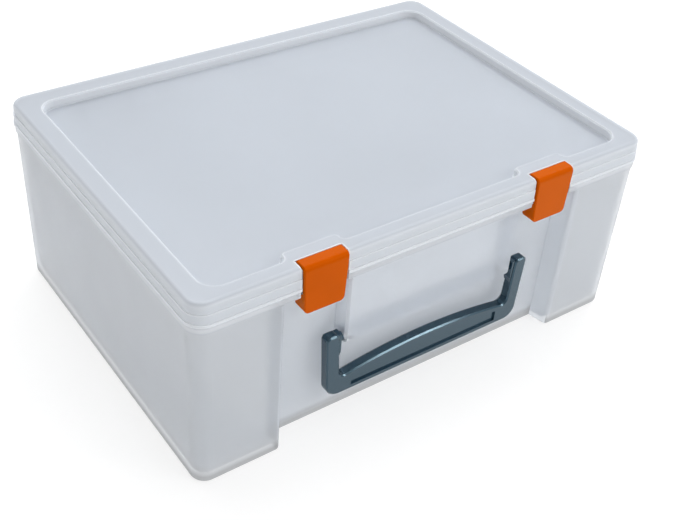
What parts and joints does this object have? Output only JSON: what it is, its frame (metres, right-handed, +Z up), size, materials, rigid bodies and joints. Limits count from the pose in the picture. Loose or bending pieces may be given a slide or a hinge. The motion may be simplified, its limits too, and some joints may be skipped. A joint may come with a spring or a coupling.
{
  "type": "photo keeper case",
  "caption": "Low rectangular storage case in frosted clear plastic with a hinged lid, snap latches on the front and a swinging carry handle in a front recess.",
  "frame": {"origin": "on the surface the case stands on, under the centre of its closed bounding box", "axes": "+X to the right along the case's long side, +Y from the handle side to the hinge side, +Z up"},
  "size_m": [0.255, 0.1949, 0.1038],
  "materials": {
    "case_plastic": "frosted translucent",
    "lid_plastic": "frosted translucent",
    "latch_plastic": "glossy",
    "handle_plastic": "satin"
  },
  "bodies": {
    "case": {"tub": "case_plastic"},
    "lid": {"lid": "lid_plastic"},
    "latch_left": {"latch_left": "latch_plastic"},
    "latch_right": {"latch_right": "latch_plastic"},
    "handle": {"handle": "handle_plastic"}
  },
  "joints": [
    {"name": "lid_hinge", "type": "hinge", "parent": "case", "child": "lid", "pos_m": [0, 0.09375, 0.09], "axis": [-1, 0, 0], "range_deg": [0, 110]},
    {"name": "latch_left_hinge", "type": "hinge", "parent": "case", "child": "latch_left", "pos_m": [-0.0648, -0.09245, 0.0818], "axis": [1, 0, 0], "range_deg": [0, 110]},
    {"name": "latch_right_hinge", "type": "hinge", "parent": "case", "child": "latch_right", "pos_m": [0.0648, -0.09245, 0.0818], "axis": [1, 0, 0], "range_deg": [0, 110]},
    {"name": "handle_hinge", "type": "hinge", "parent": "case", "child": "handle", "pos_m": [0, -0.09015, 0.0502], "axis": [-1, 0, 0], "range_deg": [0, 95]}
  ]
}
